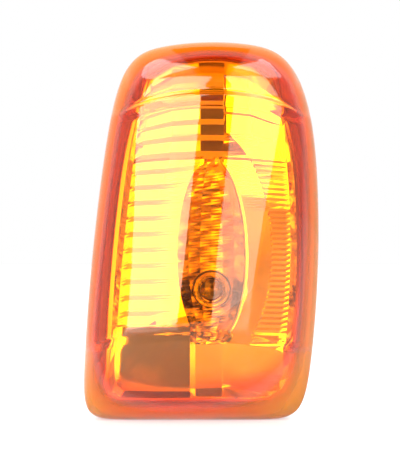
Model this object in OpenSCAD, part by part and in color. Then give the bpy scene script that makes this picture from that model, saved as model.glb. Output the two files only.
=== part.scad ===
// Side repeater lamp of a door mirror.
// An amber lens closes a housing that holds a faceted reflector, a wedge bulb
// and its twist-in holder. The front faces -Y, the lamp stands on its foot,
// and the origin lies under the middle of its box.

/* [Lens outline] */
// Overall height of the lamp
lamp_h = 105; // [98:1:112]
// Left edge at the foot, from the centre line
foot_left = 34.5; // [32:0.5:36]
// Left edge at the head, from the centre line
head_left = 23; // [21:0.5:24]
// How far the left edge bows outwards
bow_left = 2.2; // [1:0.2:3.4]
// Right edge at the foot, from the centre line
foot_right = 28; // [27:0.5:30]
// Right edge at the head, from the centre line
head_right = 28; // [26:0.5:29]
// How far the right edge bows outwards
bow_right = 4.4; // [4:0.1:6]
// Rise of the arched top edge
top_arch = 4; // [2.5:0.5:5]
// Sharpness of the lower left corner, as a superellipse exponent
corner_low_left = 11; // [8:1:12]
// Sharpness of the lower right corner, as a superellipse exponent
corner_low_right = 10; // [7:1:11]
// Sharpness of the upper left corner, as a superellipse exponent
corner_high_left = 9; // [7:0.5:10]
// Sharpness of the upper right corner, as a superellipse exponent
corner_high_right = 6.5; // [5.5:0.5:8]

/* [Lens section] */
// Depth of the lens in front of its rim, at the lower crease
lens_depth = 31; // [29:0.5:33]
// Depth of the lens at the upper crease
head_depth = 27; // [25.5:0.5:28.5]
// Depth of the lens where the chin meets the foot
foot_depth = 18; // [17:0.5:20]
// Depth of the straight skirt behind the rounded edge
skirt_depth = 12; // [11:0.5:13]
// Lean of the skirt inwards for each unit of depth
skirt_draft = 0.05; // [0.02:0.01:0.07]
// Radius of the front across its width
front_r = 50; // [48:1:54]
// Crown of the front at the foot, to the right of the centre line
crown_low = -7; // [-8:0.5:-3]
// Crown of the front at the head, to the right of the centre line
crown_high = 4; // [1:0.5:5]
// Radius of the rounded side edges
side_round = 8.5; // [7:0.5:10]
// Radius of the rounded foot edge
foot_round = 4.5; // [3.5:0.5:6]
// Height of the lower crease on the centre line
lower_crease_z = 24.5; // [22:0.5:26]
// Height of the cap above the upper crease
cap_h = 13; // [10:0.5:14]
// How far the middle panel stands proud of the chin and cap
crease_step = 1.2; // [0.6:0.1:1.4]
// Width of the bevel at each crease
crease_w = 2.4; // [1.6:0.2:3]
// Fall of the creases for each unit that they run back
rear_sweep = 0.6; // [0.4:0.05:0.65]
// How far back that fall goes on
sweep_reach = 11; // [9:0.5:12]
// Wall of the lens
lens_wall = 2.6; // [2.2:0.1:3]

/* [Lens joint] */
// Thickness of the tongue on the lens rim
tongue_w = 1.6; // [1.3:0.1:1.8]
// Length of the tongue on the lens rim
tongue_l = 2; // [1.5:0.1:2.5]
// Gap between the tongue and each wall of its groove
tongue_gap = 0.15; // [0.1:0.05:0.25]
// Thickness of the sealant bead under the tongue
sealant_t = 0.9; // [0.6:0.1:1.2]

/* [Reflector] */
// Gap between the lens skirt and the foot of the reflector wall
reflector_gap = 1; // [0.6:0.1:1.4]
// How far the reflector wall leans inwards from foot to lip
wall_lean = 1.8; // [1.2:0.1:2.4]
// Width of the lip
lip_w = 1.2; // [0.9:0.1:1.6]
// Depth of the lip in front of the lens rim
lip_depth = 12; // [11.5:0.1:12.5]
// How far the lip is rounded
lip_round = 0.5; // [0.3:0.1:0.6]
// Depth of the dish floor in front of the lens rim
dish_depth = 2.6; // [2.3:0.1:3.2]
// Radius of the dish left of its middle
dish_left_r = 66; // [60:1:72]
// Radius of the dish right of its middle
dish_right_r = 50; // [46:1:56]
// Middle of the dish, to the right of the centre line
dish_x = 4; // [2:0.5:5]
// Slope of the flank right of the bowl
flank = 0.5; // [0.45:0.01:0.52]
// Height over which the flank fades into the dish below the ledge
flank_fade = 14; // [10:1:18]
// Wall of the reflector
reflector_wall = 1.6; // [1.5:0.1:1.8]
// Number of stepped bands up the dish
band_count = 20; // [18:1:22]
// Depth of the step between two bands
band_step = 0.6; // [0.4:0.1:0.8]
// Height of the ledge above the bowl
ledge_z = 73; // [71:0.5:74]
// Top of the raised panel at the upper right
panel_top = 86; // [84:0.5:88]
// Depth of that ledge
ledge_step = 0.7; // [0.5:0.1:0.9]
// Half width of the bowl round the bulb
bowl_half_w = 9.5; // [8.5:0.5:10]
// Height of the widest part of the bowl
bowl_z = 45; // [42:0.5:46]
// Reach of the bowl above its widest part
bowl_up = 28; // [26:0.5:28.5]
// Reach of the bowl below its widest part
bowl_down = 24; // [22:0.5:26]
// Height of the flat plateau left of the bulb
plateau_z = 26; // [24:0.5:28]
// Depth of the plateau in front of the lens rim
plateau_depth = 8; // [7:0.5:9]
// How much the plateau comes forward for each unit down
plateau_lean = 0.09; // [0.06:0.01:0.1]
// Right edge of the plateau
plateau_x = -4; // [-5:0.5:-3]
// Depth of the bowl behind the dish floor
bowl_depth = 8; // [7:0.5:8.5]
// Height of the diagonal facets in the bowl
facet_h = 0.7; // [0.4:0.1:1]
// Height of the bead round the bowl
bead_h = 0.9; // [0.5:0.1:1]
// Radius of the hole for the bulb
bulb_hole_r = 5.4; // [5.3:0.1:6]
// Fine ribs in each band of the right shoulder
band_ribs = 3; // [2:1:3]
// Height of the fine ribs
rib_h = 0.25; // [0.15:0.05:0.4]
// Width of the smooth shoulder between the bowl and the ribs
shoulder_w = 7; // [6:0.5:8]
// Radius of the reflector's posts
post_r = 1.9; // [1.7:0.1:2]

/* [Housing] */
// Thickness of the flange that carries the lens
flange_t = 4; // [3.8:0.1:4.6]
// Wall of the housing
housing_wall = 2; // [1.6:0.1:2.4]
// Distance from the lamp's edge to the tub behind the flange
tub_inset = 9; // [8:0.5:10]
// How far the tub's sides lean inwards towards the back
tub_lean = 3; // [2:0.5:4]
// Distance from the lens rim to the back of the tub
tub_depth = 13; // [12.5:0.5:14]
// Radius of the neck that takes the bulb holder
neck_r = 11.5; // [11:0.1:12]
// How far the neck stands behind the tub
neck_l = 2; // [1.5:0.5:3]
// Distance between the two fixing bosses
boss_spacing = 63; // [61:1:66]
// Height of the lower fixing boss
boss_z = 17; // [16.5:0.5:18]
// Outer radius of the fixing bosses
boss_r = 4; // [3.6:0.1:4.4]
// How far the fixing bosses stand behind the tub
boss_l = 6; // [5:0.5:8]
// Radius of the pilot holes in the fixing bosses
pilot_r = 1.6; // [1.4:0.1:1.8]
// Depth of the pilot holes
pilot_l = 7; // [6:0.5:7.5]
// Radius of the locating pegs
peg_r = 2.5; // [2:0.1:3]
// How far the locating pegs stand behind the tub
peg_l = 8; // [6:0.5:10]
// Distance between the two locating pegs
peg_spacing = 28; // [26:1:30]
// Height of the locating pegs
peg_z = 63; // [62:1:66]
// Width of the hook at the head
hook_w = 12; // [9:1:14]
// Length of the hook behind the flange
hook_l = 8; // [6:0.5:10]
// Distance from the upper fixing boss down to the vent
vent_drop = 12; // [11:0.5:13]
// Radius of the vent spigot
vent_r = 2.6; // [2.3:0.1:2.8]
// Wall of the rubber vent cap
vent_wall = 1.3; // [1:0.1:1.6]

/* [Bulb] */
// Bulb axis, to the right of the centre line
bulb_x = 2; // [1:0.5:3]
// Bulb axis, above the foot
bulb_z = 36; // [35.5:0.5:37]
// Outer radius of the glass
glass_r = 5; // [4.8:0.1:5.2]
// Wall of the glass
glass_wall = 0.7; // [0.5:0.1:0.9]
// Length of the round part of the glass with its domed tip
glass_l = 17; // [16:0.5:18]
// Width of the wedge base
wedge_w = 9.5; // [9.3:0.1:9.7]
// Thickness of the web of the wedge base
wedge_t = 2.1; // [2:0.1:2.3]
// Length of the wedge base
wedge_l = 7; // [6.5:0.5:7.5]
// Radius of the lead wires
lead_r = 0.25; // [0.2:0.05:0.3]
// Distance between the two lead wires
lead_spacing = 3.6; // [3.4:0.2:3.8]
// Number of turns of the filament
filament_turns = 9; // [7:1:11]
// Radius of the filament coil
filament_r = 0.45; // [0.4:0.05:0.55]

/* [Bulb holder] */
// Radius of the holder's nose
nose_r = 6.3; // [6.2:0.1:6.5]
// Length of the holder's nose in front of its barrel
nose_l = 0.8; // [0.6:0.1:1]
// Radius of the holder's barrel
barrel_r = 8.4; // [8.2:0.1:8.6]
// Running gap between the barrel and the neck
barrel_gap = 0.3; // [0.2:0.05:0.4]
// How far the bayonet lugs stand out of the barrel
lug_h = 1.9; // [1.5:0.1:2]
// Width of the bayonet lugs
lug_w = 4; // [3.5:0.1:4.5]
// Thickness of the bayonet lugs
lug_t = 2; // [1.6:0.1:2.2]
// Thickness of the rubber seal ring
seal_t = 1.5; // [1.2:0.1:2]
// Radius of the holder's flange
holder_flange_r = 12.6; // [12.3:0.1:13]
// Thickness of the holder's flange
holder_flange_t = 2.5; // [2:0.1:3]
// Width of the plug shroud
shroud_w = 15; // [14.5:0.5:16]
// Height of the plug shroud
shroud_h = 13; // [12.5:0.5:14]
// Length of the plug shroud
shroud_l = 14; // [13:0.5:15]
// Wall of the plug shroud
shroud_wall = 1.5; // [1.2:0.1:1.7]
// Depth of the plug socket
socket_l = 11; // [10:0.5:11.5]
// Width of the contact blades
blade_w = 2.8; // [2.4:0.1:3]
// Thickness of the contact blades
blade_t = 0.6; // [0.5:0.05:0.8]

/* [Hidden] */
$fn = 64;
eps = 0.01;

// Rows and columns of the skins run from -1 to 1 across the lamp.
low_q = 2 * lower_crease_z / lamp_h - 1;
high_q = 1 - 2 * cap_h / lamp_h;
side_roll = 1 - 2 * side_round / (foot_left + foot_right);
foot_roll = 1 - 2 * foot_round / lamp_h;
crease_run = crease_w / lamp_h;
flat_land = 0.05;

function edge_x(foot, head, bow, z) = foot + (head - foot) * z / lamp_h + 4 * bow * z / lamp_h * (1 - z / lamp_h);
function left_x(z) = -edge_x(foot_left, head_left, bow_left, z);
function right_x(z) = edge_x(foot_right, head_right, bow_right, z);
function corner(p, q) = q < 0 ? (p < 0 ? corner_low_left : corner_low_right)
    : (p < 0 ? corner_high_left : corner_high_right);
// Draws the edge of the square of rows and columns in to rounded corners.
function squeeze(p, q) = let (m = max(abs(p), abs(q)), n = corner(p, q))
    m == 0 ? 1 : 1 + (m / pow(pow(abs(p), n) + pow(abs(q), n), 1 / n) - 1) * pow(m, 6);
function row_z(u, v, inset) = inset + (lamp_h - 2 * inset) * (1 + v) / 2
    - top_arch * u * u * pow((1 + v) / 2, 4);
function across(u, z, inset) = left_x(z) + inset + (right_x(z) - left_x(z) - 2 * inset) * (1 + u) / 2;
function landed(z) = z < flat_land ? 0 : z;
// The point of row q and column p, that far inside the outline and that deep.
function at(p, q, edge, depth) =
    let (s = squeeze(p, q), u = p * s, v = q * s, inset = edge + skirt_draft * max(0, min(depth, skirt_depth)),
        fall = rear_sweep * min(lens_depth - depth, sweep_reach) * (1 - pow(v, v < 0 ? 2 : 4)),
        z = landed(row_z(u, v, edge) - fall))
    [across(u, z, inset), -depth, z];
function at_plane(p, q, inset, y) = let (a = at(p, q, inset, 0)) [a[0], y, a[2]];
function nominal_z(p, q, inset) = let (s = squeeze(p, q)) row_z(p * s, q * s, inset);
function nominal_x(p, q, inset) = across(p * squeeze(p, q), nominal_z(p, q, inset), inset);

// Depth of the lens.
function bulge(x) = front_r - sqrt(front_r * front_r - x * x);
function section(x, z) = 1 - bulge(x - crown_low - (crown_high - crown_low) * z / lamp_h) / (lens_depth - skirt_depth);
function middle_depth(q) = q < low_q ? foot_depth + (lens_depth - foot_depth) * (q + 1) / (low_q + 1)
    : q > high_q ? head_depth
    : lens_depth - (lens_depth - head_depth) * pow((q - low_q) / (high_q - low_q), 1.5);
function rolled(t, start) = t <= start ? 0 : (t - start) / (1 - start);
function roll(p, q) = sqrt((1 - pow(rolled(abs(p), side_roll), 2))
    * (1 - pow(q > 0 ? rolled(q, high_q) : rolled(-q, foot_roll), 2)));
function lens_front(p, q, inset) = skirt_depth + ((middle_depth(q) - skirt_depth)
    * section(nominal_x(p, q, inset), nominal_z(p, q, inset)) - inset) * roll(p, q);

// Faces of a skin of rows and columns, and of the band between two loops.
function ring_of(rows, cols) = concat([for (c = [0:cols - 2]) c], [for (r = [0:rows - 2]) r * cols + cols - 1],
    [for (c = [cols - 1:-1:1]) (rows - 1) * cols + c], [for (r = [rows - 1:-1:1]) r * cols]);
function skin_faces(rows, cols, first, out) = [for (r = [0:rows - 2]) for (c = [0:cols - 2])
    let (a = first + r * cols + c, b = a + 1, d = a + cols, e = d + 1)
    each out ? [[a, d, e], [a, e, b]] : [[a, e, d], [a, b, e]]];
function band_faces(front, back) = let (n = len(front)) [for (j = [0:n - 1])
    let (k = (j + 1) % n) each [[front[j], front[k], back[k]], [front[j], back[k], back[j]]]];
function steps_up(from, to, count) = [for (i = [1:count]) from + (to - from) * i / count];
function run(first, count) = [for (i = [0:count - 1]) first + i];

// Columns and rows of the lens. A row has its height and how far it is set back.
roll_steps = [22.5, 45, 67.5, 90];
lens_cols = concat([for (i = [3:-1:0]) -side_roll - (1 - side_roll) * sin(roll_steps[i])], [-side_roll],
    steps_up(-side_roll, side_roll, 14), [for (a = roll_steps) side_roll + (1 - side_roll) * sin(a)]);
lens_rows = concat([for (a = [90, 60, 30]) [-foot_roll - (1 - foot_roll) * sin(a), 1]], [[-foot_roll, 1]],
    [for (q = steps_up(-foot_roll, low_q - crease_run, 3)) [q, 1]],
    [for (q = concat([low_q + crease_run], steps_up(low_q + crease_run, high_q - crease_run, 11))) [q, 0]],
    [for (a = [3, 18, 36, 54, 72, 90]) [high_q + (1 - high_q) * sin(a), 1]]);
lens_rings = [for (k = ring_of(len(lens_rows), len(lens_cols)))
    [lens_cols[k % len(lens_cols)], lens_rows[floor(k / len(lens_cols))]]];
function lens_skin(inset, step) = [for (row = lens_rows) for (p = lens_cols)
    at(p, row[0], inset, lens_front(p, row[0], inset) - step * row[1])];
function lens_loop(inset, depth) = [for (k = lens_rings) at(k[0], k[1][0], inset, depth)];
function lens_rim(inset, y) = [for (k = lens_rings) at_plane(k[0], k[1][0], inset, y)];

// The outline of the lamp in its rim plane, that far inside the edge, thinned where asked.
function outline(inset, every = 1) = [for (i = [0:every:len(lens_rings) - 1])
    let (k = lens_rings[i], a = at(k[0], k[1][0], inset, 0)) [a[0], a[2]]];

// Places along the depth of the lamp, from the rim plane back.
tongue_in = lens_wall - tongue_w;
groove_l = tongue_l + sealant_t;
reflector_in = lens_wall + reflector_gap;
lip_in = reflector_in + wall_lean;
dish_in = lip_in + lip_w + 1;
tub_back = tub_depth;
neck_back = tub_back + neck_l;
neck_bore_r = barrel_r + barrel_gap;
holder_front = neck_back + seal_t;
shroud_front = holder_front + holder_flange_t;
holder_back = shroud_front + shroud_l;
lug_back = tub_back - housing_wall - 0.2;
barrel_front = lug_back - lug_t - 0.6;
nose_front = barrel_front - nose_l;
glass_back = nose_front - 0.2;
wedge_back = glass_back + wedge_l;
glass_tip = glass_back - glass_l;
filament_y = glass_tip + 6;
bowl_back = bowl_depth - dish_depth;

// Places across and up of the reflector's posts, with the screws that hold them.
post_drop = 24;
posts = [[-14, 20], [-11, lamp_h - post_drop], [15, lamp_h - post_drop], [14, 20]];
screw_r = 1.1;
screw_gap = 0.05;
head_r = 2.6;
head_t = 1.6;
slot_l = 4;
slot_w = 0.6;
screw_front = -1;
head_front = tub_back - head_t;
boss_heights = [boss_z, boss_z + boss_spacing];
vent_z = boss_z + boss_spacing - vent_drop;
vent_l = 3;

// Folds of the lead wires and of the contacts in the wedge socket.
fold_z = wedge_t / 2 + lead_r + 0.05;
fold_y = wedge_back + lead_r + 0.05;
leaf_z = fold_z + lead_r + blade_t / 2 + 0.05;
turn_front = fold_y + lead_r + 0.1;
cavity_h = 2 * leaf_z + blade_t + 0.2;
cavity_back = turn_front + blade_t + 0.1;
contact_x = blade_w / 2 + 0.6;
blade_back = holder_back - 2.5;

// The middle of the lamp's box goes to the origin.
lens_outer = lens_skin(0, crease_step);
outer_x = [for (a = lens_outer) a[0]];
rim_x = [for (a = outline(0)) a[0]];
middle_x = (min(min(outer_x), min(rim_x)) + max(max(outer_x), max(rim_x))) / 2;
middle_y = (min([for (a = lens_outer) a[1]]) + holder_back) / 2;

module placed() {
    translate([-middle_x, -middle_y, 0]) children();
}

// A slab of a drawing in X and Z, between two depths.
module slab(front, back) {
    translate([0, back, 0]) rotate([90, 0, 0]) linear_extrude(back - front) children();
}

// A round bar along Y about the bulb axis.
module bar(r, front, back, x = 0, z = 0) {
    translate([bulb_x + x, back, bulb_z + z]) rotate([90, 0, 0]) cylinder(r = r, h = back - front);
}

// A round bar along Y at one of the reflector's posts.
module post_bar(r, front, back, a) {
    translate([a[0], back, a[1]]) rotate([90, 0, 0]) cylinder(r = r, h = back - front, $fn = 16);
}

// A block about the bulb axis, by its width, height and two depths.
module block(w, h, front, back, x = 0, z = 0) {
    translate([bulb_x + x - w / 2, front, bulb_z + z - h / 2]) cube([w, back - front, h]);
}

// Amber cover: a deep shell with a proud middle panel, a sloping chin, a rounded
// cap, and a tongue round its rim.
module lens() {
    rows = len(lens_rows);
    cols = len(lens_cols);
    n = len(lens_rings);
    inner_skin = lens_skin(lens_wall, crease_step / 2);
    loops = [
        lens_loop(0, skirt_depth / 2),
        lens_rim(0, 0),
        lens_rim(tongue_in, 0),
        lens_rim(tongue_in, tongue_l),
        lens_rim(lens_wall, tongue_l),
        lens_rim(lens_wall, 0),
        lens_loop(lens_wall, skirt_depth / 2)
    ];
    inner = rows * cols;
    loop_first = 2 * inner;
    ring = ring_of(rows, cols);
    chain = concat([ring], [for (i = [0:len(loops) - 1]) run(loop_first + i * n, n)],
        [[for (k = ring) inner + k]]);
    color([1, 0.5, 0.02, 0.6]) placed() polyhedron(
        points = concat(lens_outer, inner_skin, [for (l = loops) each l]),
        faces = concat(skin_faces(rows, cols, 0, true), skin_faces(rows, cols, inner, false),
            [for (i = [0:len(chain) - 2]) each band_faces(chain[i], chain[i + 1])]));
}

// Rows of the reflector's dish: each band is divided as finely as its ribs need.
fine = 2 * band_ribs;
dish_rows = band_count * fine + 1;
back_rows = band_count + 1;
dish_cols = 17;
bowl_end_w = 3;
bead_w = 0.5;
function dish_z(q) = at(0, q, dish_in, 0)[2];
function level_q(z, q, tries) = tries == 0 ? q : level_q(z, q - (dish_z(q) - z) * 2 / lamp_h, tries - 1);
dish_low = dish_z(-1);
dish_high = dish_z(1);
// The rows stand level and evenly spaced: their places, then their heights.
dish_q = concat([-1], [for (r = [1:dish_rows - 2]) let (t = r / (dish_rows - 1))
    level_q(dish_low + (dish_high - dish_low) * t, 2 * t - 1, 9)], [1]);
dish_rise = [for (q = dish_q) dish_z(q)];
function arc(z, middle, up, down) = sqrt(max(0.05, 1 - pow((z - middle) / (z > middle ? up : down), 2)));
function bowl_w(z) = max(bowl_end_w, bowl_half_w * arc(z, bowl_z, bowl_up, bowl_down));
function shoulder_x(z) = bulb_x + (bowl_half_w + shoulder_w) * arc(z, bowl_z + 2, bowl_up + 6, bowl_down + 8);
// Places of the columns: wing or plateau, bowl, bead, shoulder, ribs.
function column_x(z) = let (low = across(-1, z, dish_in), high = across(1, z, dish_in), w = bowl_w(z),
        left = z < plateau_z ? plateau_x : bulb_x - w, right = bulb_x + w, rib = shoulder_x(z) + bead_w)
    concat([for (i = [0, 1.2, 4]) low + (left - low) * i / 7], [for (i = [0:5]) left + (right - left) * i / 6],
        [right - bead_w, right, right + bead_w], [rib - bead_w, rib],
        [for (i = [0.4, 0.75, 1]) rib + (high - rib) * i]);
function column_p(z) = let (low = across(-1, z, dish_in), high = across(1, z, dish_in))
    [for (x = column_x(z)) 2 * (x - low) / (high - low) - 1];
function hollow(x, z) = let (s = (x - bulb_x) / bowl_w(z), t = (z - bulb_z)
        / (z > bulb_z ? bowl_z + bowl_up - bulb_z : bulb_z - bowl_z + bowl_down))
    abs(s) >= 1 || abs(t) >= 1 ? 0 : bowl_depth * (1 - s * s) * (1 - t * t);
function dish_at(x) = dish_depth + pow(x - dish_x, 2) / (2 * (x < dish_x ? dish_left_r : dish_right_r));
function flank_at(x, z) = max(0, min(1, (ledge_z - z) / flank_fade)) * (x < bulb_x + bowl_w(z) ? 0
    : dish_at(bulb_x + bowl_w(z)) + flank * (x - bulb_x - bowl_w(z)) - dish_at(x));
// Depth of the plain dish with its bowl, flank and plateau.
function floor_at(x, z) = min(lip_depth - lip_round, z < plateau_z && x <= plateau_x
    ? plateau_depth + plateau_lean * (plateau_z - z) : dish_at(x) + flank_at(x, z) - hollow(x, z));
// What stands on it at a column and row: bands, ledge, raised panel, slanted facets, bead and ribs.
function relief(c, r, z) = let (m = r % fine, saw = m <= fine - 2 ? 1 - m / (fine - 2) : 0.5,
        wave = 1 - abs(2 * ((r + 2 * c) % fine) / fine - 1), upper = z > ledge_z,
        in_bowl = !upper && z > bowl_z - bowl_down)
    c == 0 || c == dish_cols - 1 ? 0
    : ((c < 3 && z > plateau_z) || (upper && c < 12) ? band_step * saw : 0)
    + (upper && (c < 12 || z < panel_top) ? ledge_step : 0)
    + (in_bowl && c > 3 && c < 8 ? facet_h * wave : 0)
    + (in_bowl && c == 10 ? bead_h : 0) + (in_bowl && c > 12 ? rib_h * (r % 2) : 0);
function front_point(c, r) = let (z = dish_rise[r], x = column_x(z)[c])
    at(column_p(z)[c], dish_q[r], dish_in, floor_at(x, z) + relief(c, r, z));
function back_point(c, b) = let (r = b * fine, z = dish_rise[r], x = column_x(z)[c])
    at(column_p(z)[c], dish_q[r], dish_in, floor_at(x, z) - reflector_wall);
dish_ring = [for (k = ring_of(back_rows, dish_cols)) let (r = floor(k / dish_cols) * fine)
    [column_p(dish_rise[r])[k % dish_cols], dish_q[r]]];
function dish_loop(inset, depth) = [for (k = dish_ring) at(k[0], k[1], inset, depth)];
function dish_foot(inset) = [for (k = dish_ring) at_plane(k[0], k[1], inset, 0)];
// Faces between a finely divided loop and a coarse one, by the fine steps in each coarse step.
function stitch_faces(front, back, counts) = let (n = len(back), m = len(front),
        firsts = [for (j = 0, s = 0; j < n; s = s + counts[j], j = j + 1) s]) [for (j = [0:n - 1])
    let (k = (j + 1) % n, s = firsts[j], h = floor(counts[j] / 2))
    each concat([[front[s + h], back[k], back[j]]],
        [for (i = [0:counts[j] - 1]) [front[s + i], front[(s + i + 1) % m], back[i < h ? j : k]]])];

// Bright tray: a stepped dish with a standing lip, a faceted bowl for the bulb with a
// bead round it, fine ribs on its right shoulder, and posts that stand on the housing.
module reflector() {
    back_in = reflector_in + reflector_wall;
    front = [for (r = [0:dish_rows - 1]) for (c = [0:dish_cols - 1]) front_point(c, r)];
    back = [for (b = [0:back_rows - 1]) for (c = [0:dish_cols - 1]) back_point(c, b)];
    loops = [
        dish_loop(lip_in + lip_w, lip_depth - lip_round),
        dish_loop(lip_in + 0.75 * lip_w, lip_depth),
        dish_loop(lip_in + 0.25 * lip_w, lip_depth),
        dish_loop(lip_in, lip_depth - lip_round),
        dish_foot(reflector_in),
        dish_foot(back_in)
    ];
    n = len(dish_ring);
    side = [for (b = [1:band_count]) fine];
    edge = [for (c = [1:dish_cols - 1]) 1];
    back_first = len(front);
    loop_first = back_first + len(back);
    chain = concat([for (i = [0:len(loops) - 1]) run(loop_first + i * n, n)],
        [[for (k = ring_of(back_rows, dish_cols)) back_first + k]]);
    color([0.9, 0.9, 0.92]) placed() difference() {
        union() {
            polyhedron(points = concat(front, back, [for (l = loops) each l]),
                faces = concat(skin_faces(dish_rows, dish_cols, 0, true),
                    skin_faces(back_rows, dish_cols, back_first, false),
                    stitch_faces(ring_of(dish_rows, dish_cols), chain[0], concat(edge, side, edge, side)),
                    [for (i = [0:len(chain) - 2]) each band_faces(chain[i], chain[i + 1])]));
            for (a = posts) post_bar(post_r, reflector_wall / 2 - floor_at(a[0], a[1]), flange_t, a);
        }
        bar(bulb_hole_r, -dish_depth - 1, tub_back);
        for (a = posts) post_bar(screw_r + screw_gap, screw_front - 0.5, tub_back, a);
    }
}

// Screws from the back of the tub into the reflector's posts.
module reflector_screws() {
    color([0.7, 0.71, 0.73]) placed() for (a = posts) difference() {
        union() {
            post_bar(screw_r, screw_front, head_front + 0.1, a);
            post_bar(head_r, head_front, tub_back - 0.2, a);
        }
        for (s = [[slot_w, slot_l], [slot_l, slot_w]])
            translate([a[0] - s[0] / 2, tub_back - 0.9, a[1] - s[1] / 2]) cube([s[0], 2, s[1]]);
    }
}

// A solid between two outlines at two depths.
module loft(front_line, back_line, front, back) {
    n = len(front_line);
    polyhedron(
        points = concat([for (a = front_line) [a[0], front, a[1]]], [for (a = back_line) [a[0], back, a[1]]]),
        faces = concat([[for (i = [n - 1:-1:0]) i]], band_faces(run(0, n), run(n, n)), [run(n, n)]));
}

// Hook at the head, which reaches behind the edge of the mirror's shell.
module hook() {
    foot_z = lamp_h - tub_inset + 1;
    translate([-hook_w / 2, flange_t - 1, foot_z]) cube([hook_w, hook_l + 1, 2]);
    translate([-hook_w / 2, flange_t + hook_l - 2, foot_z]) cube([hook_w, 2, 4]);
    for (s = [-1, 1]) translate([s * (hook_w / 2 - 1) - 1, flange_t - 1, foot_z - 2]) cube([2, hook_l, 3]);
}

// Grey body: a grooved flange, a tub behind it, the holder's neck with its lug
// slots, two fixing bosses, two locating pegs, a vent spigot and a hook.
module housing() {
    color([0.86, 0.86, 0.85]) placed() difference() {
        union() {
            difference() {
                union() {
                    slab(0, flange_t) polygon(outline(0));
                    loft(outline(tub_inset, 2), outline(tub_inset + tub_lean, 2), 1, tub_back);
                }
                loft(outline(tub_inset + housing_wall, 2), outline(tub_inset + tub_lean + housing_wall, 2), -1,
                    tub_back - housing_wall);
            }
            bar(neck_r, tub_back - 1, neck_back);
            for (z = boss_heights) bar(boss_r, tub_back - 1, tub_back + boss_l, 0, z - bulb_z);
            for (s = [-1, 1]) bar(peg_r, tub_back - 1, tub_back + peg_l, s * peg_spacing / 2, peg_z - bulb_z);
            bar(vent_r, tub_back - 1, tub_back + vent_l, 0, vent_z - bulb_z);
            for (a = posts) post_bar(post_r + 1.2, flange_t, tub_back - 1, a);
            hook();
        }
        slab(-1, groove_l) difference() {
            polygon(outline(tongue_in - tongue_gap));
            polygon(outline(lens_wall + tongue_gap));
        }
        bar(neck_bore_r, tub_back - housing_wall - 1, neck_back + 1);
        translate([bulb_x, 0, bulb_z]) rotate([0, 60, 0]) translate([-bulb_x, 0, -bulb_z])
            block(2 * (barrel_r + lug_h + barrel_gap), lug_w + 2 * barrel_gap, tub_back - housing_wall - 1,
                neck_back + 1);
        for (z = boss_heights) bar(pilot_r, tub_back + boss_l - pilot_l, tub_back + boss_l + 1, 0, z - bulb_z);
        bar(1.2, tub_back - housing_wall - 1, tub_back + vent_l + 1, 0, vent_z - bulb_z);
        for (a = posts) {
            post_bar(screw_r + 0.2, 0, tub_back, a);
            post_bar(head_r + 0.2, head_front, tub_back + 1, a);
        }
    }
}

// Bead of sealant at the bottom of the groove, under the lens tongue.
module lens_sealant() {
    color([0.82, 0.81, 0.78]) placed() slab(tongue_l, groove_l) difference() {
        polygon(outline(tongue_in));
        polygon(outline(lens_wall));
    }
}

// Rubber cap on the vent spigot, with two slots that let the lamp breathe.
module vent_cap() {
    color([0.12, 0.12, 0.13]) placed() difference() {
        bar(vent_r + vent_wall, tub_back, tub_back + vent_l + 1.6, 0, vent_z - bulb_z);
        bar(vent_r, tub_back - 1, tub_back + vent_l + 0.4, 0, vent_z - bulb_z);
        block(10, 1.2, tub_back - 1, tub_back + 1, 0, vent_z - bulb_z);
    }
}

// Twist-in bulb holder: nose, barrel with two lugs, flange with grips, and the
// shroud round the plug socket.
module bulb_holder() {
    color([0.62, 0.62, 0.63]) placed() difference() {
        union() {
            bar(nose_r, nose_front, barrel_front + 1);
            bar(barrel_r, barrel_front, holder_front + 1);
            block(2 * (barrel_r + lug_h), lug_w, lug_back - lug_t, lug_back);
            bar(holder_flange_r, holder_front, shroud_front);
            block(shroud_w, shroud_h, shroud_front - 1, holder_back);
            for (s = [-1, 1]) block(3, 2.4, shroud_front - 1, shroud_front + 5, s * (shroud_w / 2 + 1), 0);
            block(3.2, 1.6, holder_back - 6, holder_back - 3, 0, shroud_h / 2 + 0.3);
        }
        block(wedge_w + 0.2, cavity_h, nose_front - 1, cavity_back);
        block(shroud_w - 2 * shroud_wall, shroud_h - 2 * shroud_wall, holder_back - socket_l, holder_back + 1);
        for (s = [-1, 1])
            block(blade_w + 0.1, blade_t + 0.1, cavity_back - 0.5, holder_back - socket_l + 1, s * contact_x, 0);
    }
}

// Rubber ring between the neck and the holder's flange.
module holder_seal() {
    color([0.2, 0.2, 0.21]) placed() difference() {
        bar(neck_r, neck_back, holder_front);
        bar(barrel_r + 0.1, neck_back - 1, holder_front + 1);
    }
}

// One contact: a leaf on the folded lead, a turn across, and a plug blade.
module contact(s) {
    color([0.8, 0.72, 0.5]) placed() union() {
        block(blade_w, blade_t, wedge_back - 5, turn_front + blade_t, s * contact_x, s * leaf_z);
        block(blade_w, leaf_z + blade_t, turn_front, turn_front + blade_t, s * contact_x, s * leaf_z / 2);
        block(blade_w, blade_t, turn_front, blade_back, s * contact_x, 0);
    }
}

module contact_left() {
    contact(-1);
}

module contact_right() {
    contact(1);
}

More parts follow.
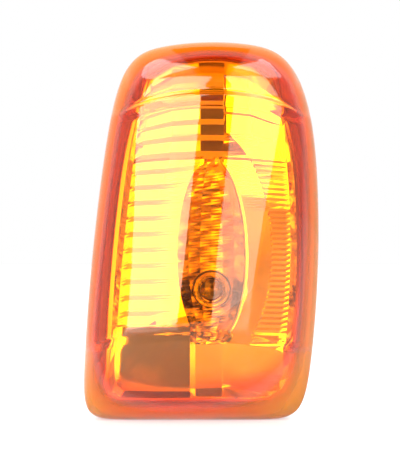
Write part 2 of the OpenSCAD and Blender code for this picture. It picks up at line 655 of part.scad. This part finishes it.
// Amber glass: a hollow tube with a domed tip, a neck and a solid wedge.
module bulb_glass() {
    color([1, 0.62, 0.1, 0.6]) placed() difference() {
        union() {
            bar(glass_r, glass_tip + glass_r, glass_back - 3);
            translate([bulb_x, glass_tip + glass_r, bulb_z]) sphere(r = glass_r);
            translate([bulb_x, glass_back, bulb_z]) rotate([90, 0, 0])
                cylinder(r1 = 0.68 * glass_r, r2 = glass_r, h = 3);
            block(wedge_w, wedge_t, glass_back - 0.5, wedge_back);
        }
        bar(glass_r - glass_wall, glass_tip + glass_r, glass_back - 3.5);
        translate([bulb_x, glass_tip + glass_r, bulb_z]) sphere(r = glass_r - glass_wall);
        for (s = [-1, 1]) bar(lead_r + 0.04, glass_back - 4, wedge_back + 1, s * lead_spacing / 2);
    }
}

// Coil between the tips of the lead wires.
module bulb_filament() {
    seg = 6;
    wire = 0.1;
    span = lead_spacing / 2 - lead_r;
    count = filament_turns * seg;
    function coil_point(i, k) = let (a = 360 * i / seg, r = filament_r + wire * cos(120 * k))
        [bulb_x + span * (2 * i / count - 1) * 0.97 + wire * sin(120 * k) * 0.9,
        filament_y + r * cos(a), bulb_z + r * sin(a)];
    rings = [for (i = [0:count]) run(3 * i, 3)];
    color([0.45, 0.43, 0.42]) placed() polyhedron(
        points = [for (i = [0:count]) for (k = [0:2]) coil_point(i, k)],
        faces = concat([[for (k = [2:-1:0]) k]], [for (i = [0:count - 1]) each band_faces(rings[i], rings[i + 1])],
            [rings[count]]));
}

// One lead wire: up through the wedge to the coil, and folded round the base.
module bulb_lead(s) {
    x = s * lead_spacing / 2;
    color([0.75, 0.74, 0.72]) placed() union() {
        bar(lead_r, filament_y - filament_r - 0.3, fold_y, x, $fn = 16);
        translate([bulb_x + x, fold_y, bulb_z + (s > 0 ? 0 : -fold_z)]) cylinder(r = lead_r, h = fold_z, $fn = 16);
        for (z = [0, s * fold_z]) translate([bulb_x + x, fold_y, bulb_z + z]) sphere(r = lead_r, $fn = 16);
        bar(lead_r, wedge_back - 4, fold_y, x, s * fold_z, $fn = 16);
    }
}

module bulb_lead_left() {
    bulb_lead(-1);
}

module bulb_lead_right() {
    bulb_lead(1);
}

lens();
reflector();
reflector_screws();
housing();
lens_sealant();
vent_cap();
bulb_holder();
holder_seal();
contact_left();
contact_right();
bulb_glass();
bulb_filament();
bulb_lead_left();
bulb_lead_right();
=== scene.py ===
"""Looks of the side repeater lamp: an amber cover over a bright reflector, in a plain studio."""

from math import pi, radians, sin, sqrt

import bpy
from mathutils import Matrix, Vector


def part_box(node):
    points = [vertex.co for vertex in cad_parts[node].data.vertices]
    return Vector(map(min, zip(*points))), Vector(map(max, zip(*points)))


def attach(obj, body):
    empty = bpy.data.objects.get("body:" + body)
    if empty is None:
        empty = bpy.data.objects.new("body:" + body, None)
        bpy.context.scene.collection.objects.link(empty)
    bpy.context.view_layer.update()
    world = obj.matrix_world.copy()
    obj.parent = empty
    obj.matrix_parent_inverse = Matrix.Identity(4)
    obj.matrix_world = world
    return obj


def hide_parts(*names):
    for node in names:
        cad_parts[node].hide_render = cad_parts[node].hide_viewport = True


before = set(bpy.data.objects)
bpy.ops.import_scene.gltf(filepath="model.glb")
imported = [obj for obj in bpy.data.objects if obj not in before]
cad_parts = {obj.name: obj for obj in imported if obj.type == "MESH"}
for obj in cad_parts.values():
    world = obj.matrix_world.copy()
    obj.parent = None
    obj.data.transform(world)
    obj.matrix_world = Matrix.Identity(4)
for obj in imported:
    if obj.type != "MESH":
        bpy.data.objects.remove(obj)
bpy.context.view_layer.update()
bpy.context.scene.view_settings.view_transform = "Standard"

MM = 0.001

# The cover's driving sizes in mm, as the CAD node has them
LAMP_H = 105.0
FOOT_LEFT, HEAD_LEFT, BOW_LEFT = 34.5, 23.0, 2.2
FOOT_RIGHT, HEAD_RIGHT, BOW_RIGHT = 28.0, 28.0, 4.4
TOP_ARCH = 4.0
CORNERS = {"low_left": 11.0, "low_right": 10.0, "high_left": 9.0, "high_right": 6.5}
LENS_DEPTH, HEAD_DEPTH, FOOT_DEPTH, SKIRT_DEPTH = 31.0, 27.0, 18.0, 12.0
FRONT_R, CROWN_LOW, CROWN_HIGH = 50.0, -7.0, 4.0
SIDE_ROUND, FOOT_ROUND = 8.5, 4.5
LOWER_CREASE_Z, CAP_H = 24.5, 13.0
CREASE_STEP, CREASE_W, REAR_SWEEP, SWEEP_REACH = 1.2, 2.4, 0.6, 11.0
CREASE_BLEND, SKIRT_DRAFT = 1.6, 0.05
LENS_WALL, TONGUE_W, TONGUE_L = 2.6, 1.6, 2.0

# How the cover's curves are divided: the rows are finer within FINE_REACH widths of a crease
PANEL_ROWS, CHIN_ROWS, CAP_ROWS, FOOT_ROWS = 84, 14, 26, 8
LOW_CREASE_ROWS, HIGH_CREASE_ROWS, FINE_REACH = 10, 6, 1.2
ROLL_STEPS, FLAT_COLUMNS = 12, 72

LOW_Q = 2 * LOWER_CREASE_Z / LAMP_H - 1
HIGH_Q = 1 - 2 * CAP_H / LAMP_H
SIDE_ROLL = 1 - 2 * SIDE_ROUND / (FOOT_LEFT + FOOT_RIGHT)
FOOT_ROLL = 1 - 2 * FOOT_ROUND / LAMP_H


def edge_x(foot, head, bow, z):
    """Distance from the middle to a side of the outline at that height."""
    t = z / LAMP_H
    return foot + (head - foot) * t + 4 * bow * t * (1 - t)


def left_x(z):
    return -edge_x(FOOT_LEFT, HEAD_LEFT, BOW_LEFT, z)


def right_x(z):
    return edge_x(FOOT_RIGHT, HEAD_RIGHT, BOW_RIGHT, z)


def squeeze(p, q):
    """Factor that draws row q and column p, from -1 to 1, in to the rounded corners."""
    m = max(abs(p), abs(q))
    if m == 0:
        return 1.0
    n = CORNERS[("low_" if q < 0 else "high_") + ("left" if p < 0 else "right")]
    return 1 + (m / (abs(p) ** n + abs(q) ** n) ** (1 / n) - 1) * m ** 6


def row_z(u, v, inset):
    return inset + (LAMP_H - 2 * inset) * (1 + v) / 2 - TOP_ARCH * u * u * ((1 + v) / 2) ** 4


def across(u, z, inset):
    low, high = left_x(z) + inset, right_x(z) - inset
    return low + (high - low) * (1 + u) / 2


def at(p, q, edge, depth):
    """The point of row q and column p, that far inside the outline and that deep."""
    inset = edge + SKIRT_DRAFT * max(0, min(depth, SKIRT_DEPTH))
    s = squeeze(p, q)
    u, v = p * s, q * s
    fall = REAR_SWEEP * min(LENS_DEPTH - depth, SWEEP_REACH) * (1 - abs(v) ** (2 if v < 0 else 4))
    z = max(row_z(u, v, edge) - fall, 0.0)
    return across(u, z, inset), -depth, z


def middle_depth(q):
    """Depth of the cover along its middle, with chin and panel blended at the crease."""
    chin = FOOT_DEPTH + (LENS_DEPTH - FOOT_DEPTH) * (q + 1) / (LOW_Q + 1)
    t = min(max((q - LOW_Q) / (HIGH_Q - LOW_Q), 0.0), 1.0)
    panel = LENS_DEPTH - (LENS_DEPTH - HEAD_DEPTH) * t ** 1.5
    h = max(CREASE_BLEND - abs(chin - panel), 0.0) / CREASE_BLEND
    return min(chin, panel) - h * h * CREASE_BLEND / 4


def section(x, z):
    """Share of the depth that the crowned section leaves at that place."""
    dx = x - CROWN_LOW - (CROWN_HIGH - CROWN_LOW) * z / LAMP_H
    return 1 - (FRONT_R - sqrt(FRONT_R ** 2 - dx * dx)) / (LENS_DEPTH - SKIRT_DEPTH)


def rolled(t, start):
    return 0.0 if t <= start else min((t - start) / (1 - start), 1.0)


def roll(p, q):
    ends = rolled(q, HIGH_Q) if q > 0 else rolled(-q, FOOT_ROLL)
    return sqrt((1 - rolled(abs(p), SIDE_ROLL) ** 2) * (1 - ends ** 2))


def lens_front(p, q, inset):
    s = squeeze(p, q)
    z = row_z(p * s, q * s, inset)
    x = across(p * s, z, inset)
    return SKIRT_DEPTH + ((middle_depth(q) - SKIRT_DEPTH) * section(x, z) - inset) * roll(p, q)


def steps_up(low, high, count):
    return [low + (high - low) * i / count for i in range(1, count + 1)]


def smooth(t):
    t = min(max(t, 0.0), 1.0)
    return t * t * (3 - 2 * t)


def crease_inset(q):
    """Share of the step, 0 on the proud middle panel and 1 on the chin and cap."""
    run = CREASE_W / LAMP_H
    return max(smooth((LOW_Q + run - q) / (2 * run)), smooth((q - HIGH_Q + run) / (2 * run)))


def quarter_turn(start, count):
    """Values from start up to 1, closer together towards 1."""
    return [start + (1 - start) * sin(radians(90 * i / count)) for i in range(1, count + 1)]


def cover_columns():
    arc = quarter_turn(SIDE_ROLL, ROLL_STEPS)
    flat = [-SIDE_ROLL] + steps_up(-SIDE_ROLL, SIDE_ROLL, FLAT_COLUMNS)
    return [-a for a in reversed(arc)] + flat + arc


def cover_rows():
    foot = [-a for a in reversed(quarter_turn(FOOT_ROLL, FOOT_ROWS))]
    near = FINE_REACH * CREASE_W / LAMP_H
    rows = foot + [-FOOT_ROLL] + steps_up(-FOOT_ROLL, LOW_Q - near, CHIN_ROWS)
    rows += steps_up(LOW_Q - near, LOW_Q + near, LOW_CREASE_ROWS)
    rows += steps_up(LOW_Q + near, HIGH_Q - near, PANEL_ROWS)
    rows += steps_up(HIGH_Q - near, HIGH_Q, HIGH_CREASE_ROWS)
    return rows + quarter_turn(HIGH_Q, CAP_ROWS)


def ring_of(rows, cols):
    """Indices round the edge of a grid, anticlockwise from the front."""
    bottom = list(range(cols - 1))
    right = [r * cols + cols - 1 for r in range(rows - 1)]
    top = [(rows - 1) * cols + c for c in range(cols - 1, 0, -1)]
    return bottom + right + top + [r * cols for r in range(rows - 1, 0, -1)]


def new_piece(name, points, faces):
    mesh = bpy.data.meshes.new(name)
    mesh.from_pydata([tuple(c * MM for c in p) for p in points], [], faces)
    mesh.update()
    piece = bpy.data.objects.new(name, mesh)
    bpy.context.scene.collection.objects.link(piece)
    return piece


def shade(piece, degrees):
    piece.data.shade_smooth()
    piece.data.set_sharp_from_angle(angle=radians(degrees))


def placed(points):
    """Moves points from the rim datum to the frame, by the CAD box of the cover."""
    low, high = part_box("lens")
    xs = [p[0] for p in points]
    shift_x = (low[0] + high[0]) / 2 / MM - (min(xs) + max(xs)) / 2
    shift_y = high[1] / MM - max(p[1] for p in points)
    return [(x + shift_x, y + shift_y, z) for x, y, z in points]


def make_cover():
    cols, rows = cover_columns(), cover_rows()
    nc, nr = len(cols), len(rows)
    ring = ring_of(nr, nc)
    pairs = [(cols[k % nc], rows[k // nc]) for k in ring]

    def skin(inset, step):
        return [at(p, q, inset, lens_front(p, q, inset) - step * crease_inset(q))
                for q in rows for p in cols]

    def loop(inset, depth, y=None):
        line = [at(p, q, inset, depth) for p, q in pairs]
        return line if y is None else [(x, y, z) for x, _, z in line]

    tongue_in = LENS_WALL - TONGUE_W
    half = SKIRT_DEPTH / 2
    loops = [loop(0, half), loop(0, 0, 0.0), loop(tongue_in, 0, 0.0),
             loop(tongue_in, 0, TONGUE_L), loop(LENS_WALL, 0, TONGUE_L),
             loop(LENS_WALL, 0, 0.0), loop(LENS_WALL, half)]
    points = skin(0, CREASE_STEP) + skin(LENS_WALL, CREASE_STEP / 2)
    inner = nr * nc
    faces = []
    for r in range(nr - 1):
        for c in range(nc - 1):
            a = r * nc + c
            b, d, e = a + 1, a + nc, a + nc + 1
            faces.append((a, b, e, d))
            faces.append((inner + a, inner + d, inner + e, inner + b))
    chain = [ring]
    for line in loops:
        chain.append(range(len(points), len(points) + len(line)))
        points += line
    chain.append([inner + k for k in ring])
    for front, back in zip(chain, chain[1:]):
        for j in range(len(ring)):
            k = (j + 1) % len(ring)
            faces.append((front[j], back[j], back[k], front[k]))
    cover = new_piece("amber_cover", placed(points), faces)
    shade(cover, 35)
    return cover


def material(name):
    made = bpy.data.materials.new(name)
    made.use_nodes = True
    return made, made.node_tree, made.node_tree.nodes["Principled BSDF"]


def noise(tree, scale):
    coords = tree.nodes.new("ShaderNodeTexCoord")
    grain = tree.nodes.new("ShaderNodeTexNoise")
    grain.inputs["Scale"].default_value = scale
    grain.inputs["Detail"].default_value = 3.0
    tree.links.new(coords.outputs["Object"], grain.inputs["Vector"])
    return grain.outputs["Fac"]


def spread(tree, source, low, high):
    span = tree.nodes.new("ShaderNodeMapRange")
    span.inputs["To Min"].default_value = low
    span.inputs["To Max"].default_value = high
    tree.links.new(source, span.inputs["Value"])
    return span.outputs["Result"]


def bump(tree, shader, source, height):
    lift = tree.nodes.new("ShaderNodeBump")
    lift.inputs["Distance"].default_value = height
    tree.links.new(source, lift.inputs["Height"])
    tree.links.new(lift.outputs["Normal"], shader.inputs["Normal"])


# The cover's edge, in m: scatter and hue change from EDGE_RUN in front of the full frost, and
# the roughness from FROST_RUN in front of it
EDGE_RUN, SCATTER_RUN, HUE_RUN, FROST_RUN = 0.015, 0.007, 0.0025, 0.006
EDGE_CLEAR, EDGE_ORANGE, FROST_ROUGH = 0.65, (1.0, 0.45, 0.01), 0.45
# The reflector's metal is rougher in the bowl, and darker and warmer there as painted shade
BOWL_ROUGH_SHADE_RUN, DULL_ROUGH, BOWL_SHADE_METAL = 0.004, 0.12, (0.6, 0.5, 0.45)
GRAIN_LIFT = 0.00002


def behind(tree, start, end, most=1.0):
    """0 in front of start, growing to the most at end, along Y towards the back."""
    coords, place = tree.nodes.new("ShaderNodeTexCoord"), tree.nodes.new("ShaderNodeSeparateXYZ")
    tree.links.new(coords.outputs["Object"], place.inputs["Vector"])
    grown = spread(tree, place.outputs["Y"], 0.0, most)
    grown.node.inputs["From Min"].default_value = start
    grown.node.inputs["From Max"].default_value = end
    return grown


def added(tree, first, second):
    total = tree.nodes.new("ShaderNodeMath")
    tree.links.new(first, total.inputs[0])
    tree.links.new(second, total.inputs[1])
    return total.outputs["Value"]


def blend(tree, factor, first, second):
    """A colour between two, each a colour or a socket."""
    mix = tree.nodes.new("ShaderNodeMix")
    mix.data_type = "RGBA"
    for label, side in (("A", first), ("B", second)):
        if isinstance(side, tuple):
            mix.inputs[label].default_value = (*side, 1)
        else:
            tree.links.new(side, mix.inputs[label])
    tree.links.new(factor, mix.inputs["Factor"])
    return mix.outputs["Result"]


def clear_amber(name, tint, density, ior, low_rough, high_rough, frosted=0.0):
    """Clear plastic or glass that absorbs by depth, and that may be frosted from a place back."""
    made, tree, shader = material(name)
    shader.inputs["Base Color"].default_value = (1, 1, 1, 1)
    shader.inputs["Transmission Weight"].default_value = 1.0
    shader.inputs["IOR"].default_value = ior
    rough = spread(tree, noise(tree, 90.0), low_rough, high_rough)
    if frosted:
        # The rolled edge scatters part of the light, and the skirt behind it is frosted
        edge = frosted - EDGE_RUN
        clear = spread(tree, behind(tree, edge, edge + SCATTER_RUN), 1.0, EDGE_CLEAR)
        tree.links.new(clear, shader.inputs["Transmission Weight"])
        tone = blend(tree, behind(tree, edge, edge + HUE_RUN), (1, 1, 1), EDGE_ORANGE)
        tree.links.new(tone, shader.inputs["Base Color"])
        rough = added(tree, rough, behind(tree, frosted - FROST_RUN, frosted, FROST_ROUGH))
    tree.links.new(rough, shader.inputs["Roughness"])
    depth = tree.nodes.new("ShaderNodeVolumeAbsorption")
    depth.inputs["Color"].default_value = (*tint, 1)
    depth.inputs["Density"].default_value = density
    tree.links.new(depth.outputs["Volume"], tree.nodes["Material Output"].inputs["Volume"])
    return made


def surface(name, colour, dark, rough, metal, scale, height=GRAIN_LIFT, rough_and_shaded_from=0.0):
    """A finish that varies a little with a fine grain, and that may be rougher, and darker and
    warmer as painted shade, from a place back.
    """
    made, tree, shader = material(name)
    grain = noise(tree, scale)
    tone, finish = blend(tree, grain, dark, colour), spread(tree, grain, *rough)
    if rough_and_shaded_from:
        # From that place back the metal is rougher, and its colour darker and warmer as painted
        # shade in the bowl
        bowl_shade = behind(tree, rough_and_shaded_from, rough_and_shaded_from + BOWL_ROUGH_SHADE_RUN)
        tone = blend(tree, bowl_shade, tone, BOWL_SHADE_METAL)
        finish = added(tree, finish, behind(tree, rough_and_shaded_from, rough_and_shaded_from + BOWL_ROUGH_SHADE_RUN, DULL_ROUGH))
    tree.links.new(tone, shader.inputs["Base Color"])
    tree.links.new(finish, shader.inputs["Roughness"])
    shader.inputs["Metallic"].default_value = metal
    if height:
        bump(tree, shader, grain, height)
    return made


def dress(node, finish):
    mesh = bpy.data.objects[node].data
    mesh.materials.clear()
    mesh.materials.append(finish)


cover = make_cover()
rim_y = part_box("lens")[1].y
FROST_FROM_RIM, BOWL_FROM_RIM = 0.008, 0.0045
cover.data.materials.append(
    clear_amber("amber_acrylic", (1.0, 0.81, 0.0), 1400.0, 1.49, 0.0, 0.02, rim_y - FROST_FROM_RIM))
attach(cover, "root")
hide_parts("lens")

# The reflector's bowl is rougher, and carries painted shade as a darker, warmer metal colour
dress("reflector", surface("bright_metallising", (0.93, 0.93, 0.94), (0.88, 0.88, 0.89),
                           (0.05, 0.1), 1.0, 300.0, 0, rim_y - BOWL_FROM_RIM))
dress("reflector_screws", surface("zinc_plate", (0.62, 0.6, 0.55), (0.5, 0.49, 0.47),
                                  (0.25, 0.4), 1.0, 900.0))
dress("housing", surface("grey_moulding", (0.86, 0.86, 0.85), (0.81, 0.81, 0.8),
                         (0.42, 0.55), 0.0, 1500.0))
dress("lens_sealant", surface("sealant_bead", (0.82, 0.81, 0.78), (0.74, 0.73, 0.7),
                              (0.3, 0.45), 0.0, 500.0))
rubber = surface("matt_rubber", (0.035, 0.035, 0.037), (0.025, 0.025, 0.026),
                 (0.6, 0.75), 0.0, 1200.0)
dress("vent_cap", rubber)
dress("holder_seal", rubber)
dress("bulb_holder", surface("grey_nylon", (0.62, 0.62, 0.63), (0.56, 0.56, 0.57),
                             (0.38, 0.5), 0.0, 1500.0))
brass = surface("tinned_brass", (0.8, 0.7, 0.45), (0.68, 0.58, 0.36), (0.2, 0.35), 1.0, 800.0)
dress("contact_left", brass)
dress("contact_right", brass)
dress("bulb_glass", clear_amber("amber_glass", (0.995, 0.8, 0.3), 120.0, 1.5, 0.0, 0.02))
lead = surface("drawn_wire", (0.55, 0.54, 0.52), (0.45, 0.44, 0.43), (0.25, 0.4), 1.0, 2000.0, 0)
dress("bulb_lead_left", lead)
dress("bulb_lead_right", lead)


TURN_STEPS, WIRE_SIDES = 24, 8


def wound_coil(name, finish, **sizes):
    """A wire wound along X about the origin, made by a node tree and turned into a mesh."""
    tree = bpy.data.node_groups.new(name, "GeometryNodeTree")
    face = tree.interface
    kinds = {label: "NodeSocketFloat" for label in sizes} | {"finish": "NodeSocketMaterial"}
    keys = {label: face.new_socket(name=label, in_out="INPUT", socket_type=kind).identifier
            for label, kind in kinds.items()}
    face.new_socket(name="Geometry", in_out="OUTPUT", socket_type="NodeSocketGeometry")
    entry, leave = tree.nodes.new("NodeGroupInput"), tree.nodes.new("NodeGroupOutput")
    spiral = tree.nodes.new("GeometryNodeCurveSpiral")
    turned = tree.nodes.new("GeometryNodeTransform")
    circle = tree.nodes.new("GeometryNodeCurvePrimitiveCircle")
    swept = tree.nodes.new("GeometryNodeCurveToMesh")
    real = tree.nodes.new("GeometryNodeRealizeInstances")
    dressed = tree.nodes.new("GeometryNodeSetMaterial")
    spiral.inputs["Resolution"].default_value = TURN_STEPS
    circle.inputs["Resolution"].default_value = WIRE_SIDES
    swept.inputs["Fill Caps"].default_value = True
    turned.inputs["Rotation"].default_value = (0, pi / 2, 0)
    join = tree.links.new
    join(entry.outputs["turns"], spiral.inputs["Rotations"])
    join(entry.outputs["radius"], spiral.inputs["Start Radius"])
    join(entry.outputs["radius"], spiral.inputs["End Radius"])
    join(entry.outputs["length"], spiral.inputs["Height"])
    join(entry.outputs["wire"], circle.inputs["Radius"])
    join(spiral.outputs["Curve"], turned.inputs["Geometry"])
    join(turned.outputs["Geometry"], swept.inputs["Curve"])
    join(circle.outputs["Curve"], swept.inputs["Profile Curve"])
    join(swept.outputs["Mesh"], real.inputs["Geometry"])
    join(real.outputs["Geometry"], dressed.inputs["Geometry"])
    join(entry.outputs["finish"], dressed.inputs["Material"])
    join(dressed.outputs["Geometry"], leave.inputs[0])
    maker = new_piece(name + "_maker", [], [])
    step = maker.modifiers.new("wind", "NODES")
    step.node_group = tree
    for label, size in sizes.items():
        step[keys[label]] = float(size)
    step[keys["finish"]] = finish
    seen = maker.evaluated_get(bpy.context.evaluated_depsgraph_get())
    mesh = bpy.data.meshes.new_from_object(seen)
    bpy.data.objects.remove(maker)
    piece = bpy.data.objects.new(name, mesh)
    bpy.context.scene.collection.objects.link(piece)
    return piece


# The coil, wire and all, keeps inside the box of the CAD node
FILAMENT_TURNS, WIRE_R = 9, 0.0001
low, high = (Vector(c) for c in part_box("bulb_filament"))
coil_l, coil_r = high.x - low.x - 2 * WIRE_R, (high.z - low.z) / 2 - WIRE_R
coil = wound_coil("fine_coil", lead, turns=FILAMENT_TURNS, radius=coil_r, length=coil_l,
                  wire=WIRE_R)
coil.data.transform(Matrix.Translation((low + high) / 2 - Vector((coil_l / 2, 0, 0))))
coil.data.shade_smooth()
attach(coil, "root")
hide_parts("bulb_filament")

# Studio: the camera stands straight before the lamp, and the photograph gives its scale
CAMERA_D, SENSOR = 0.6, 36.0
PHOTO_H, PHOTO_W = 471, 400
MM_PER_PIXEL = 0.2838
MIDDLE_PIXEL_X, FOOT_PIXEL_Y = 201.2, 416.0

camera_x = (PHOTO_W / 2 - MIDDLE_PIXEL_X) * MM_PER_PIXEL * MM
camera_z = (FOOT_PIXEL_Y - PHOTO_H / 2) * MM_PER_PIXEL * MM
data = bpy.data.cameras.new("camera")
data.sensor_width = SENSOR
data.lens = SENSOR * CAMERA_D / (PHOTO_H * MM_PER_PIXEL * MM)
camera = bpy.data.objects.new("camera", data)
camera.location = (camera_x, -CAMERA_D, camera_z)
camera.rotation_euler = (radians(90), 0, 0)
bpy.context.scene.collection.objects.link(camera)
bpy.context.scene.camera = camera

LAMP_MIDDLE = Vector((0, 0, 0.05))


def softbox(name, place, wide, tall, radiance):
    """A soft light at that place, facing the lamp."""
    light = bpy.data.lights.new(name, "AREA")
    light.shape = "RECTANGLE"
    light.size, light.size_y = wide, tall
    light.energy = radiance * pi * wide * tall
    thing = bpy.data.objects.new(name, light)
    thing.location = place
    thing.rotation_euler = (LAMP_MIDDLE - thing.location).to_track_quat("-Z", "Y").to_euler()
    bpy.context.scene.collection.objects.link(thing)


softbox("softbox_left", (-0.46, -0.96, 0.48), 0.76, 1.2, 7.0)
softbox("softbox_right", (0.48, -0.95, 0.48), 0.57, 1.2, 4.5)
softbox("overhead_left", (-0.55, -0.25, 1.15), 0.6, 0.6, 5.5)
softbox("overhead_right", (0.55, -0.25, 1.15), 0.6, 0.6, 5.0)


def seen_rays(tree, other, seen):
    """One strength for what is seen, also in glass and metal, and another for the light."""
    path = tree.nodes.new("ShaderNodeLightPath")
    either = added(tree, path.outputs["Is Camera Ray"], path.outputs["Is Glossy Ray"])
    return spread(tree, added(tree, either, path.outputs["Is Transmission Ray"]), other, seen)


def card(name, points, finish):
    mesh = bpy.data.meshes.new(name)
    mesh.from_pydata(points, [], [(0, 1, 2, 3)])
    thing = bpy.data.objects.new(name, mesh)
    mesh.materials.append(finish)
    bpy.context.scene.collection.objects.link(thing)
    return thing


floor_finish, tree, shader = material("pale_floor")
shader.inputs["Base Color"].default_value = (0.5, 0.5, 0.5, 1)
shader.inputs["Roughness"].default_value = 0.2
shader.inputs["Emission Color"].default_value = (1, 1, 1, 1)
tree.links.new(seen_rays(tree, 0.0, 0.5), shader.inputs["Emission Strength"])
card("floor", [(-3, -3, 0), (3, -3, 0), (3, 3, 0), (-3, 3, 0)], floor_finish)

# Two grey cards, before and above the lamp, make the darker parts of its reflections
cards = {
    "front_card": (0.3, [(-0.5, -1.5, 0), (-0.5, -1.5, 2), (0.6, -1.5, 2), (0.6, -1.5, 0)]),
    "top_card": (0.05, [(-0.3, -1.5, 1.6), (0.3, -1.5, 1.6), (0.3, 1.0, 1.6), (-0.3, 1.0, 1.6)]),
}
for name, (grey, corners) in cards.items():
    finish, tree, shader = material(name + "_felt")
    shader.inputs["Base Color"].default_value = (grey, grey, grey, 1)
    shader.inputs["Roughness"].default_value = 0.9
    card(name, corners, finish).visible_camera = False

world = bpy.data.worlds.new("studio")
bpy.context.scene.world = world
world.use_nodes = True
sky = world.node_tree.nodes["Background"]
sky.inputs["Color"].default_value = (1, 1, 1, 1)
world.node_tree.links.new(seen_rays(world.node_tree, 0.7, 1.0), sky.inputs["Strength"])
